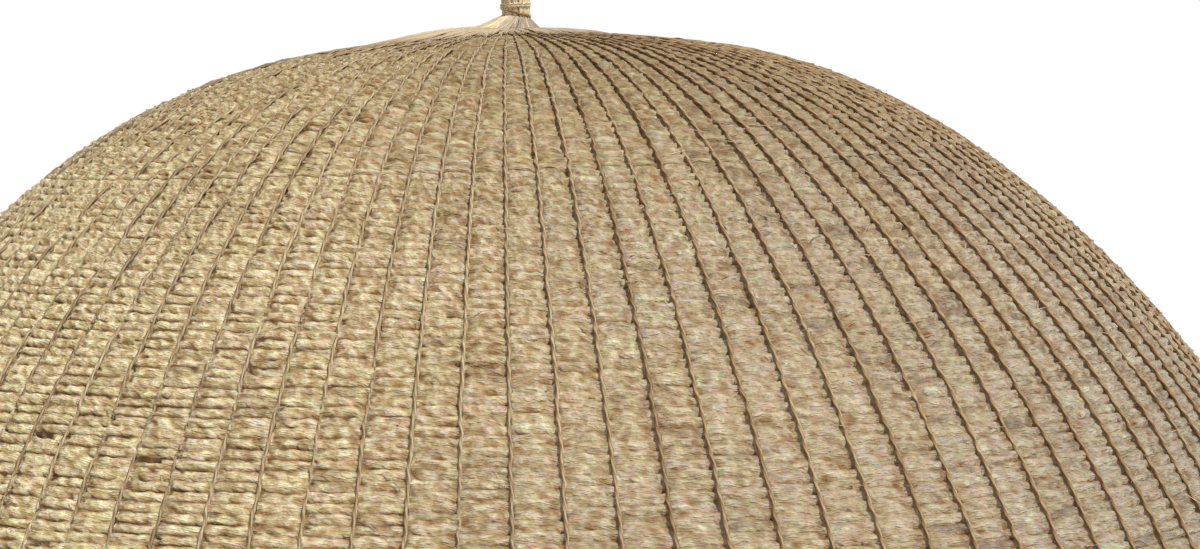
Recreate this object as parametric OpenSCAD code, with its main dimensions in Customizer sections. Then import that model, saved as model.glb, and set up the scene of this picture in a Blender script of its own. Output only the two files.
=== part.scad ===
// Beehive grass hut: a dome of crossed saplings covered with thatch,
// held down by a net of grass ropes that meet in a knot at the top.
// The origin is on the ground at the middle of the hut, and the doorway faces -Y.

/* [Dome] */
// Radius of the thatch where it meets the ground
hut_radius = 3000; // [2700:10:3300]
// Height of the thatch at the middle, without the knot
hut_height = 2800; // [2600:10:3000]
// Radius of the flat arc over the crown
crown_radius = 4100; // [3700:10:4700]
// Angle from the vertical at which the crown arc ends
crown_angle = 10.5; // [8:0.5:14]
// Radius of the tight arc round the shoulder
shoulder_radius = 2100; // [1900:10:2300]
// Angle from the vertical at which the shoulder arc ends
shoulder_angle = 37; // [33:1:41]
// Thickness of the thatch
thatch_thickness = 140; // [100:5:200]

// Angle from the vertical at the top of the foot course
foot_course_angle = 62; // [59:1:64]

/* [Saplings] */
// Thickness of a sapling
sapling_diameter = 36; // [28:1:44]
// Distance between neighbouring arches
sapling_spacing = 420; // [380:5:460]
// Arches on each side of the middle
arches_a_side = 6; // [5:1:6]
// Sides of a sapling's outline
sapling_sides = 6; // [5:1:8]

/* [Rope net] */
// Number of ropes that run down from the knot
rope_count = 108; // [72:12:108]
// Thickness of a rope
rope_diameter = 12; // [10:1:16]
// Radius at which the ropes that reach the knot begin
long_rope_start = 186; // [184:1:260]
// Radius at which the ropes between them begin
short_rope_start = 330; // [300:5:500]
// Thickness of the hoop round the foot of the net
hoop_diameter = 46; // [36:1:60]
// Height of the hoop above the ground
hoop_height = 70; // [50:5:120]

/* [Doorway] */
// Clear width of the doorway
door_width = 760; // [700:10:800]
// Height of the straight sides, measured along the leaning wall
door_side_height = 570; // [500:10:600]
// Thickness of an arch pole
door_pole_diameter = 56; // [48:1:64]
// Distance between the arch poles through the wall
door_pole_spacing = 80; // [70:1:90]
// Lean of the doorway with the wall
door_lean = 15.5; // [12:0.5:18]
// Height of the clay threshold
threshold_height = 90; // [70:5:120]

/* [Floor and posts] */
// Thickness of the clay floor
floor_thickness = 50; // [30:5:65]
// Thickness of a post
post_diameter = 110; // [90:5:140]
// Distance between the posts
post_spacing = 1300; // [1000:20:1400]
// Thickness of the beam
beam_diameter = 100; // [80:5:130]
// Length of the beam
beam_length = 1700; // [1500:20:1900]

/* [Knot] */
// Radius of the knot's skirt at its rim
skirt_radius = 180; // [150:1:182]
// Height of the skirt where it meets the neck
skirt_height = 64; // [50:1:90]
// Thickness of the skirt's rim
skirt_rim = 14; // [10:1:20]
// Radius of the neck
neck_radius = 38; // [30:1:44]
// Height of the tuft above the skirt
tuft_height = 190; // [120:5:260]
// Radius of the tuft at its top
tuft_radius = 58; // [44:1:66]
// Thickness of the rope that binds the neck
binding_diameter = 13; // [10:1:18]
// Turns of rope round the neck
binding_turns = 3; // [2:1:5]

/* [Hidden] */

$fn = 360;
seat_gap = 0.3;      // clearance where one piece rests on another
front = -90;         // direction of the doorway
sector = 60;         // each thatch course and the rope net have six segments

thatch_colour = [0.66, 0.57, 0.42];
rope_colour = [0.74, 0.65, 0.47];
wood_colour = [0.42, 0.32, 0.22];
clay_colour = [0.48, 0.36, 0.27];

// The dome's outline is three arcs that share their tangents: crown, shoulder and wall.
// A place on it is given by its angle from the vertical and its depth below the thatch's face.
function heading(angle) = [sin(angle), cos(angle)];
crown_centre = [0, hut_height - crown_radius];
shoulder_centre = crown_centre + (crown_radius - shoulder_radius) * heading(crown_angle);
shoulder_end = shoulder_centre + shoulder_radius * heading(shoulder_angle);
foot_chord = [hut_radius, 0] - shoulder_end;
wall_radius = -(foot_chord * foot_chord) / (2 * (foot_chord * heading(shoulder_angle)));
wall_centre = shoulder_end - wall_radius * heading(shoulder_angle);
wall_end_angle = 90;

// Each arc: centre, radius, angle at its top, angle at its bottom
arcs = [
    [crown_centre, crown_radius, 0, crown_angle],
    [shoulder_centre, shoulder_radius, crown_angle, shoulder_angle],
    [wall_centre, wall_radius, shoulder_angle, wall_end_angle]
];

function on_dome(angle, depth) =
    let (arc = angle < crown_angle ? arcs[0] : angle < shoulder_angle ? arcs[1] : arcs[2])
    arc[0] + (arc[1] - depth) * heading(angle);

function arc_at_radius(radius, depth) =
    radius < on_dome(crown_angle, depth)[0] ? arcs[0]
    : radius < on_dome(shoulder_angle, depth)[0] ? arcs[1] : arcs[2];

function arc_at_height(height, depth) =
    height > on_dome(crown_angle, depth)[1] ? arcs[0]
    : height > on_dome(shoulder_angle, depth)[1] ? arcs[1] : arcs[2];

function height_at(radius, depth) =
    let (arc = arc_at_radius(radius, depth), reach = arc[1] - depth)
    arc[0][1] + sqrt(reach * reach - pow(radius - arc[0][0], 2));

function radius_at(height, depth) =
    let (arc = arc_at_height(height, depth), reach = arc[1] - depth)
    arc[0][0] + sqrt(reach * reach - pow(height - arc[0][1], 2));

function angle_at(radius, depth) =
    let (arc = arc_at_radius(radius, depth))
    asin((radius - arc[0][0]) / (arc[1] - depth));

// Section of the thatch along one arc, between two angles
module arc_band(arc, top, bottom) {
    reach = 2 * arc[1];
    translate(arc[0])
        intersection() {
            difference() {
                circle(arc[1]);
                circle(arc[1] - thatch_thickness);
            }
            polygon([[0, 0], reach * heading(top), reach * heading((top + bottom) / 2), reach * heading(bottom)]);
        }
}

// One segment of a thatch course, centred on a direction, and cut level with the ground
module thatch_segment(arc, direction, top, bottom) {
    color(thatch_colour)
        rotate([0, 0, direction - sector / 2])
            rotate_extrude(angle = sector)
                intersection() {
                    arc_band(arc, top, bottom);
                    square([hut_radius + thatch_thickness, hut_height + thatch_thickness]);
                }
}

// The doorway leans with the wall: in its own frame x is across, y goes inward and z goes up the wall.
door_radius = door_width / 2;
door_outer_radius = door_radius + door_pole_diameter;
door_arch_top = door_side_height + door_outer_radius;
below_ground = 400;

module in_doorway() {
    translate([0, -hut_radius, 0])
        rotate([-door_lean, 0, 0])
            children();
}

// Height above the ground of the doorway's outer edge, at a distance from its middle and a depth in the wall
function door_edge_height(across, depth) =
    (door_side_height + sqrt(pow(door_outer_radius, 2) - across * across)) * cos(door_lean)
    - depth * sin(door_lean);

module door_tunnel(half_width) {
    tunnel_length = 900;
    in_doorway()
        translate([0, tunnel_length / 2, 0])
            rotate([90, 0, 0])
                linear_extrude(tunnel_length) {
                    translate([-half_width, -below_ground])
                        square([2 * half_width, door_side_height + below_ground]);
                    translate([0, door_side_height])
                        circle(half_width);
                }
}

// A bent pole round the doorway, at a depth in the wall
module door_arch(depth) {
    pole_centre = door_radius + door_pole_diameter / 2;
    color(wood_colour)
        difference() {
            in_doorway()
                translate([0, depth, 0]) {
                    translate([0, 0, door_side_height])
                        rotate([90, 0, 0])
                            rotate_extrude(angle = 180)
                                translate([pole_centre, 0])
                                    circle(d = door_pole_diameter);
                    for (side = [-1, 1])
                        translate([side * pole_centre, 0, -below_ground])
                            cylinder(d = door_pole_diameter, h = door_side_height + below_ground);
                }
            translate([-hut_radius, -hut_radius - below_ground, -hut_radius])
                cube([2 * hut_radius, hut_radius, hut_radius]);
        }
}

module foot_thatch(direction) {
    color(thatch_colour)
        difference() {
            thatch_segment(arcs[2], direction, foot_course_angle, wall_end_angle);
            if (abs(direction - front) < sector)
                door_tunnel(door_outer_radius + seat_gap);
        }
}

module wall_thatch(direction) {
    thatch_segment(arcs[2], direction, shoulder_angle, foot_course_angle);
}

module shoulder_thatch(direction) {
    thatch_segment(arcs[1], direction, crown_angle, shoulder_angle);
}

module crown_thatch() {
    color(thatch_colour)
        rotate_extrude()
            arc_band(arcs[0], 0, crown_angle);
}

// The arches stand in upright planes. The cross arches lie right under the thatch,
// and the long arches, which run from front to back, cross below them.
cross_depth = thatch_thickness + sapling_diameter / 2 + seat_gap;
long_depth = cross_depth + sapling_diameter + seat_gap;
frame_depth = long_depth + sapling_diameter / 2;
lowest_crossing = 260;
foot_steps = 3;

function arch_offsets() = [for (i = [0 : arches_a_side - 1]) (i + 0.5) * sapling_spacing];

// Distances from the middle at which an arch is crossed well above the ground, from the middle outward
function crossings(across, depth, lowest) = [
    for (along = arch_offsets())
        let (radius = norm([across, along]))
        if (radius < radius_at(lowest, depth)) along
];

// Places on one half of an arch, from the middle down to the height of its foot
function half_arch(across, depth, foot) =
    let (
        crossed = crossings(across, depth, foot + lowest_crossing),
        last = height_at(norm([across, crossed[len(crossed) - 1]]), depth)
    )
    concat(crossed, [
        for (step = [1 : foot_steps])
            let (height = foot + (last - foot) * (1 - step / foot_steps))
            sqrt(pow(radius_at(height, depth), 2) - across * across)
    ]);

function reversed(list) = [for (i = [len(list) - 1 : -1 : 0]) list[i]];
function unit(v) = v / norm(v);

// Centre line of an arch at x = across, from its front foot to its back foot
function arch_line(across, depth, front_foot) =
    let (
        ahead = half_arch(across, depth, front_foot),
        behind = half_arch(across, depth, 0),
        along = concat([for (u = reversed(ahead)) -u], behind)
    )
    [for (u = along) [across, u, height_at(norm([across, u]), depth)]];

function outward(point, depth) =
    let (radius = norm([point[0], point[1]]), angle = angle_at(radius, depth))
    [point[0] / radius * sin(angle), point[1] / radius * sin(angle), cos(angle)];

function tangent_at(line, i) =
    unit(line[min(i + 1, len(line) - 1)] - line[max(i - 1, 0)]);

// Ring of points round the centre line, and cut level with the ground at a foot
function sapling_ring(line, i, depth, level) =
    let (
        along = tangent_at(line, i),
        up = outward(line[i], depth),
        out = unit(up - (up * along) * along),
        side = cross(along, out),
        r = sapling_diameter / 2
    )
    [for (k = [0 : sapling_sides - 1])
        let (
            turn = 360 * k / sapling_sides,
            p = line[i] + r * (cos(turn) * out + sin(turn) * side)
        )
        level ? p - along * (p[2] / along[2]) : p
    ];

module sapling(line, depth, front_on_ground) {
    count = len(line);
    n = sapling_sides;
    rings = [for (i = [0 : count - 1])
        sapling_ring(line, i, depth, i == count - 1 || (i == 0 && front_on_ground))];
    points = [for (ring = rings) for (p = ring) p];
    sides = [
        for (i = [0 : count - 2])
            for (k = [0 : n - 1])
                let (a = i * n + k, b = i * n + (k + 1) % n)
                each [[a, b, a + n], [b, b + n, a + n]]
    ];
    caps = [[for (k = [n - 1 : -1 : 0]) k], [for (k = [0 : n - 1]) (count - 1) * n + k]];
    polyhedron(points, concat(sides, caps));
}

// Arches that run from front to back. Those over the doorway stop at its arch.
module long_saplings(side) {
    color(wood_colour)
        for (offset = arch_offsets()) {
            over_door = offset < door_outer_radius;
            foot = over_door ? door_edge_height(offset, frame_depth - sapling_diameter) + sapling_diameter / 2 : 0;
            sapling(arch_line(side * offset, long_depth, foot), long_depth, !over_door);
        }
}

// Arches that run from side to side
module cross_saplings(side) {
    color(wood_colour)
        rotate([0, 0, 90])
            for (offset = arch_offsets())
                sapling(arch_line(side * offset, cross_depth, 0), cross_depth, true);
}

floor_radius = radius_at(floor_thickness, frame_depth) - seat_gap;
hoop_radius = radius_at(hoop_height, -rope_diameter - 2 * seat_gap - hoop_diameter / 2);
hoop_outer_radius = hoop_radius + hoop_diameter / 2;

module clay_floor() {
    color(clay_colour)
        cylinder(r = floor_radius, h = floor_thickness);
}

// Clay step between the feet of the door arches, from the floor to the line of the foot hoop
module threshold() {
    color(clay_colour)
        difference() {
            translate([seat_gap - door_radius, -hoop_outer_radius, 0])
                cube([door_width - 2 * seat_gap, hoop_outer_radius, threshold_height]);
            translate([0, 0, -seat_gap])
                cylinder(r = floor_radius + seat_gap, h = threshold_height + 2 * seat_gap);
        }
}

// The beam lies under the outermost long arches that it reaches. They run level across it.
beam_crossing = max([for (offset = arch_offsets()) if (offset < beam_length / 2) offset]);
beam_top = height_at(norm([beam_crossing, sapling_spacing / 2]), long_depth)
    - sapling_diameter / 2 - seat_gap;
beam_axis_height = beam_top - beam_diameter / 2;

module beam_bar(diameter) {
    translate([-beam_length / 2, 0, beam_axis_height])
        rotate([0, 90, 0])
            cylinder(d = diameter, h = beam_length);
}

module cross_beam() {
    color(wood_colour)
        beam_bar(beam_diameter);
}

// A post with a saddle in its top, in which the beam lies
module post(side) {
    color(wood_colour)
        difference() {
            translate([side * post_spacing / 2, 0, floor_thickness])
                cylinder(d = post_diameter, h = beam_axis_height - floor_thickness);
            beam_bar(beam_diameter + 2 * seat_gap);
        }
}

// A rope over the dome, from a radius near the knot down to a height above the ground.
// It has one length on each of the dome's arcs, and the lengths meet end to end.
module rope(start_radius, foot_height) {
    depth = -rope_diameter / 2 - seat_gap;
    top = angle_at(start_radius, depth);
    bottom = angle_at(radius_at(foot_height, depth), depth);
    rotate([90, 0, 0])
        for (arc = arcs) {
            joint = 180 / PI * seat_gap / arc[1];
            upper = max(top, arc[2]);
            lower = min(bottom, arc[3] - joint);
            if (lower > upper)
                translate([arc[0][0], arc[0][1], 0])
                    rotate([0, 0, 90 - lower])
                        rotate_extrude(angle = lower - upper, $fn = 120)
                            translate([arc[1] - depth, 0])
                                circle(d = rope_diameter, $fn = 24);
        }
}

// The sixth of the net round a direction: every second rope reaches the knot
module rope_net(direction) {
    step = 360 / rope_count;
    ropes_in_sector = rope_count * sector / 360;
    first = direction - sector / 2;
    color(rope_colour)
        for (i = [0 : ropes_in_sector - 1]) {
            azimuth = first + i * step;
            off_middle = abs(hut_radius * sin(azimuth - front));
            over_door = cos(azimuth - front) > 0 && off_middle < door_outer_radius + rope_diameter;
            foot = over_door
                ? door_edge_height(min(off_middle, door_outer_radius), 0) + door_pole_diameter
                : rope_diameter / 2;
            rotate([0, 0, azimuth])
                rope(i % 2 == 0 ? long_rope_start : short_rope_start, foot);
        }
}

// The hoop lies on the ropes and ends at the feet of the outer door arch.
module foot_hoop() {
    door_half_angle = asin((door_outer_radius + seat_gap) / (hoop_radius - hoop_diameter / 2));
    color(rope_colour)
        rotate([0, 0, front + door_half_angle])
            rotate_extrude(angle = 360 - 2 * door_half_angle)
                translate([hoop_radius, hoop_height])
                    circle(d = hoop_diameter);
}

// The knot's skirt is a flared cone of grass that covers the upper ends of the ropes.
module knot_skirt() {
    drop = skirt_height - skirt_rim;
    run = skirt_radius - neck_radius;
    flare = (run * run + drop * drop) / (2 * drop);
    color(thatch_colour)
        rotate_extrude()
            difference() {
                translate([0, hut_height - skirt_rim])
                    square([skirt_radius, skirt_rim + skirt_height]);
                translate([skirt_radius, hut_height + skirt_rim + flare])
                    circle(flare);
                translate(crown_centre)
                    circle(crown_radius + seat_gap, $fn = 1440);
            }
}

module knot_binding() {
    color(rope_colour)
        for (turn = [0 : binding_turns - 1])
            translate([0, 0, hut_height + skirt_height + seat_gap + binding_diameter * (turn + 0.5)])
                rotate_extrude()
                    translate([neck_radius + seat_gap + binding_diameter / 2, 0])
                        circle(d = binding_diameter - seat_gap);
}

module knot_tuft() {
    bound = binding_diameter * binding_turns + seat_gap;
    color(thatch_colour)
        translate([0, 0, hut_height + skirt_height + seat_gap]) {
            cylinder(r = neck_radius, h = bound);
            translate([0, 0, bound])
                cylinder(r1 = neck_radius, r2 = tuft_radius, h = tuft_height - bound);
        }
}

clay_floor();
threshold();
post(-1);  // post_left
post(1);  // post_right
cross_beam();
long_saplings(-1);  // long_saplings_left
long_saplings(1);  // long_saplings_right
cross_saplings(-1);  // cross_saplings_front
cross_saplings(1);  // cross_saplings_back
door_arch(0);  // door_arch_outer
door_arch(door_pole_spacing);  // door_arch_middle
door_arch(2 * door_pole_spacing);  // door_arch_inner
foot_thatch(front + 0.5 * sector);  // foot_thatch_front_right
foot_thatch(front + 1.5 * sector);  // foot_thatch_right
foot_thatch(front + 2.5 * sector);  // foot_thatch_back_right
foot_thatch(front + 3.5 * sector);  // foot_thatch_back_left
foot_thatch(front + 4.5 * sector);  // foot_thatch_left
foot_thatch(front - 0.5 * sector);  // foot_thatch_front_left
wall_thatch(front + 0.5 * sector);  // wall_thatch_front_right
wall_thatch(front + 1.5 * sector);  // wall_thatch_right
wall_thatch(front + 2.5 * sector);  // wall_thatch_back_right
wall_thatch(front + 3.5 * sector);  // wall_thatch_back_left
wall_thatch(front + 4.5 * sector);  // wall_thatch_left
wall_thatch(front - 0.5 * sector);  // wall_thatch_front_left
shoulder_thatch(front);  // shoulder_thatch_front
shoulder_thatch(front + sector);  // shoulder_thatch_front_right
shoulder_thatch(front + 2 * sector);  // shoulder_thatch_back_right
shoulder_thatch(front + 3 * sector);  // shoulder_thatch_back
shoulder_thatch(front + 4 * sector);  // shoulder_thatch_back_left
shoulder_thatch(front - sector);  // shoulder_thatch_front_left
crown_thatch();
rope_net(front);  // rope_net_front
rope_net(front + sector);  // rope_net_front_right
rope_net(front + 2 * sector);  // rope_net_back_right
rope_net(front + 3 * sector);  // rope_net_back
rope_net(front + 4 * sector);  // rope_net_back_left
rope_net(front - sector);  // rope_net_front_left
foot_hoop();
knot_skirt();
knot_binding();
knot_tuft();
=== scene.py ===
import math
import bpy
import numpy as np
from mathutils import Matrix, Vector
from numpy import arange, array, clip, concatenate, cos, linspace, sin, stack, where
from numpy.random import default_rng


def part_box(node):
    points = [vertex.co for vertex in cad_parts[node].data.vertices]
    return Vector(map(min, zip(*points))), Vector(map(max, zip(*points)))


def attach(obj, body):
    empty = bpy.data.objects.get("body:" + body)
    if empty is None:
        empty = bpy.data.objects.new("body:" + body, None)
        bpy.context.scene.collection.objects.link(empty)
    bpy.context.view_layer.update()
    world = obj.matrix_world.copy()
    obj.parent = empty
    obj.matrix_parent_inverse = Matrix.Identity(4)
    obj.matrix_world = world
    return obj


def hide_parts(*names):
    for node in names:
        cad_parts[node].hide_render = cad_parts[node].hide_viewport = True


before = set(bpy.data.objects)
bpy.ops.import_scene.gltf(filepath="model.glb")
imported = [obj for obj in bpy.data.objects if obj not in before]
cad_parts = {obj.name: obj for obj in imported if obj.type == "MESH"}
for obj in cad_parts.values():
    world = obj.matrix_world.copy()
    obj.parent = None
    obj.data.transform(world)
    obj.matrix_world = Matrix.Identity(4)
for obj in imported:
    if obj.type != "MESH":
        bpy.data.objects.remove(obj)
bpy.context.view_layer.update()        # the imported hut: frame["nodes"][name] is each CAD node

fullTurn = 2 * math.pi


def addObject(name, data):
    thing = bpy.data.objects.new(name, data)
    bpy.context.scene.collection.objects.link(thing)
    return thing


def srgb(*levels):
    linear = (c / 255 / 12.92 if c <= 10 else ((c / 255 + 0.055) / 1.055) ** 2.4 for c in levels)
    return (*linear, 1.0)


# Short cuts for node trees: each adds a node and gives its output

class NodeTree:
    def __init__(self, tree):
        self.tree = tree

    def put(self, socket, value):
        if isinstance(value, bpy.types.NodeSocket):
            self.tree.links.new(value, socket)
        else:
            socket.default_value = value

    def add(self, kind, inputs=(), **options):
        node = self.tree.nodes.new("ShaderNode" + kind)
        for option, value in options.items():
            setattr(node, option, value)
        for place, value in dict(inputs).items():
            self.put(node.inputs[place], value)
        return node.outputs

    def math(self, kind, a, b=0.5, clamp=False):
        return self.add("Math", {0: a, 1: b}, operation=kind, use_clamp=clamp)[0]

    def plus(self, a, b, clamp=False):
        return self.math("ADD", a, b, clamp)

    def minus(self, a, b):
        return self.math("SUBTRACT", a, b)

    def times(self, a, b):
        return self.math("MULTIPLY", a, b)

    def mix(self, factor, a, b, kind="MIX"):
        return self.add("Mix", {0: factor, 6: a, 7: b}, data_type="RGBA", blend_type=kind)[2]

    def darken(self, colour, factor):
        return self.mix(1.0, colour, factor, "MULTIPLY")

    def spread(self, value, low, high, outLow=0.0, outHigh=1.0):
        ends = {"From Min": low, "From Max": high, "To Min": outLow, "To Max": outHigh}
        return self.add("MapRange", {"Value": value, **ends})["Result"]

    def stretched(self, vector, scale, turn=0.0):
        inputs = {"Vector": vector, "Scale": [1 / x for x in scale], "Rotation": (0, 0, turn)}
        return self.add("Mapping", inputs, vector_type="TEXTURE")["Vector"]

    def noise(self, vector, scale=1.0, detail=3.0, roughness=0.55, output="Fac"):
        inputs = {"Vector": vector, "Scale": scale, "Detail": detail, "Roughness": roughness}
        return self.add("TexNoise", inputs)[output]

    def streaks(self, vector, scale, turn=0.0, detail=3.0, roughness=0.55, output="Fac"):
        return self.noise(self.stretched(vector, scale, turn), 1.0, detail, roughness, output)

    def ramp(self, value, stops):
        output = self.add("ValToRGB", {"Fac": value})["Color"]
        marks = output.node.color_ramp.elements
        while len(marks) < len(stops):
            marks.new(0.5)
        for mark, (place, *levels) in zip(marks, stops):
            mark.position, mark.color = place, srgb(*levels)
        return output

    def attribute(self, name):
        return self.add("Attribute", attribute_name=name)["Fac"]

    def lay(self):
        return self.add("UVMap", uv_map="lay")["UV"]

    def place(self):
        return self.add("TexCoord")["Object"]

    def weathered(self, group, colour, amount):
        return self.add("Group", {"Color": colour, "Amount": amount}, node_tree=group)["Color"]

    def dress(self, shader, colour, height, distance):
        self.put(shader.inputs["Base Color"], colour)
        raised = {"Strength": 1.0, "Distance": distance, "Height": height}
        self.put(shader.inputs["Normal"], self.add("Bump", raised)["Normal"])


# Camera and light

cameraSettings = {
    "distance": 10.146, "height": 2.5045,    # from the middle of the hut, in metres
    "around": 0.809,                         # degrees round the hut from straight in front
    "yaw": 1.6769, "pitch": 3.2045, "roll": -1.8778,
    "lens": 85.275, "sensor": 36.0, "clip": (0.1, 200),
}


def makeCamera(k):
    around, yaw, pitch, roll = (math.radians(k[angle]) for angle in ("around", "yaw", "pitch", "roll"))
    ahead = Vector((math.sin(yaw) * math.cos(pitch), math.cos(yaw) * math.cos(pitch), -math.sin(pitch)))
    right = Vector((math.cos(yaw), -math.sin(yaw), 0))
    up = right.cross(ahead)
    right, up = math.cos(roll) * right + math.sin(roll) * up, math.cos(roll) * up - math.sin(roll) * right
    data = bpy.data.cameras.new("camera")
    data.lens, data.sensor_width = k["lens"], k["sensor"]
    data.clip_start, data.clip_end = k["clip"]
    look = Matrix((right, up, -ahead)).transposed().to_4x4()
    look.translation = Vector((0, -k["distance"], k["height"]))
    camera = addObject("camera", data)
    camera.matrix_world = Matrix.Rotation(around, 4, "Z") @ look
    bpy.context.scene.camera = camera


lightSettings = {
    "sunFrom": (0.36, -0.36, 0.86), "sunStrength": 3.5, "sunAngle": 4.0, "sunColour": (1.0, 0.975, 0.94),
    "sky": (1.0, 0.97, 0.93, 1), "skyStrength": 0.42,
}


def makeLight(k):
    sun = bpy.data.lights.new("sun", "SUN")
    sun.energy, sun.angle, sun.color = k["sunStrength"], math.radians(k["sunAngle"]), k["sunColour"]
    addObject("sun", sun).rotation_euler = Vector(k["sunFrom"]).to_track_quat("Z", "Y").to_euler()

    world = bpy.data.worlds.new("studio")
    bpy.context.scene.world = world
    world.use_nodes = True
    world.node_tree.nodes.clear()
    t = NodeTree(world.node_tree)
    path = t.add("LightPath")
    seen = t.math("MAXIMUM", path["Is Camera Ray"], path["Is Glossy Ray"])
    seen = t.math("MAXIMUM", seen, path["Is Transmission Ray"])
    sky = t.add("Background", {"Color": k["sky"], "Strength": k["skyStrength"]})[0]
    white = t.add("Background", {"Color": (1, 1, 1, 1)})[0]
    t.add("OutputWorld", {"Surface": t.add("MixShader", {0: seen, 1: sky, 2: white})[0]})
    bpy.context.scene.view_settings.view_transform = "Standard"


# Effects shared by materials

# A noise has its stretch, turn, detail and roughness; four numbers are a range and what it is turned into

fibreSettings = {
    "fine": ((22, 260, 1), 0.16, 2.0), "fineShare": 0.35, "broad": ((13, 105, 1), -0.12), "broadShare": 0.65,
    "contrast": (0.34, 0.66),
}
weatherSettings = {
    "grey": srgb(150, 132, 118), "greyNoise": (1.3, 5.0, 0.6), "greyFrom": (0.45, 0.7),
    "moss": srgb(163, 152, 92), "mossNoise": (2.9, 4.0, 0.6), "mossFrom": (0.55, 0.75),
    "mossStretch": (1, 1, 0.7), "mossShare": 0.55,
}


def newGroup(name, inputs, outputs):
    tree = bpy.data.node_groups.new(name, "ShaderNodeTree")
    for label, kind, value in inputs:
        socket = tree.interface.new_socket(label, in_out="INPUT", socket_type="NodeSocket" + kind)
        if value is not None:
            socket.default_value = value
    for label, kind in outputs:
        tree.interface.new_socket(label, in_out="OUTPUT", socket_type="NodeSocket" + kind)
    return NodeTree(tree), tree.nodes.new("NodeGroupInput").outputs, tree.nodes.new("NodeGroupOutput").inputs


def fibreGroup(k):
    t, given, out = newGroup("Fibre", [("Vector", "Vector", None), ("Depth", "Float", 0.3)],
                             [("Shade", "Float"), ("Height", "Float")])
    fine, broad = (t.streaks(given["Vector"], *k[name]) for name in ("fine", "broad"))
    strong = t.spread(t.plus(t.times(fine, k["fineShare"]), t.times(broad, k["broadShare"])), *k["contrast"])
    t.put(out["Height"], strong)
    t.put(out["Shade"], t.minus(1.0, t.times(t.minus(1.0, strong), given["Depth"])))
    return t.tree


def weatherGroup(k):
    t, given, out = newGroup("Weather", [("Color", "Color", (0.5, 0.5, 0.5, 1)), ("Amount", "Float", 0.5)],
                             [("Color", "Color")])
    place = t.place()
    grey = t.spread(t.noise(place, *k["greyNoise"]), *k["greyFrom"])
    moss = t.spread(t.noise(t.stretched(place, k["mossStretch"]), *k["mossNoise"]), *k["mossFrom"])
    greyed = t.mix(t.times(grey, given["Amount"]), given["Color"], k["grey"])
    t.put(out["Color"], t.mix(t.times(moss, t.times(given["Amount"], k["mossShare"])), greyed, k["moss"]))
    return t.tree


def newMaterial(name, k):
    material = bpy.data.materials.new(name)
    material.use_nodes = True
    shader = material.node_tree.nodes["Principled BSDF"]
    shader.inputs["Roughness"].default_value = k["roughness"]
    shader.inputs["Specular IOR Level"].default_value = k["specular"]
    return material, NodeTree(material.node_tree), shader


gapShadeAndBrown = srgb(134, 89, 40)    # a brown for painted shade in the gaps and pits and on one side of each rope, and for browner straw

thatchLook = {
    "roughness": 0.92, "specular": 0.2, "fibreDepth": 0.22, "weather": 0.4, "bump": 0.008,
    "ramp": [(0.0, 148, 116, 82), (0.2, 188, 158, 112), (0.4, 214, 190, 142),
             (0.55, 220, 196, 148), (0.68, 220, 182, 148), (0.8, 196, 180, 164),
             (0.9, 204, 196, 120), (1.0, 238, 222, 180)],
    "patch": ((24, 34, 1), 0.2, 2.0, 0.6), "patchTint": (0.3, 0.7, -0.34, 0.34),
    # painted light on the left and painted shade on the right, as seen from the front
    "paintedLight": srgb(252, 238, 188), "paintedLightAmount": 0.95, "paintedLightAcross": (1.6, -2.4), "paintedLightPower": 1.5,
    "paintedShade": srgb(150, 153, 143), "paintedShadeAmount": 0.66, "paintedShadeAcross": (-1.0, 2.6),
    "tuft": ((31, 44, 1), 0.3, 2.0, 0.5), "tuftShade": (0.38, 0.62, 0.17, 1.02), "tuftHeight": 2.6,
    "calmAcross": (-0.2, 1.0, 0.0, 0.45), "calmLight": 0.66,
    "shadow": (0.57, 0.47, 0.32, 1), "light": (1.19, 1.285, 1.49, 1),
    "speckle": ((26, 34, 1), 0.1, 2.0, 0.5, "Color"), "hue": 0.46, "hueAmount": 0.6,
    "crown": srgb(200, 192, 174), "crownUp": (2.1, 2.75, 0.0, 0.6), "crownAcross": (-0.5, 0.9, 1.0, 1.5),
    # painted shade in the gaps, broken into patches, and darkest in deep places on the left
    "gapShadePatch": (0.38, 0.62, 1.0, 0.72),
    "hole": srgb(62, 40, 20), "holeShadeFromGroove": (0.4, 0.9, 0.0, 0.6), "holeShadeAcross": (0.2, -0.5),
}


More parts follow.
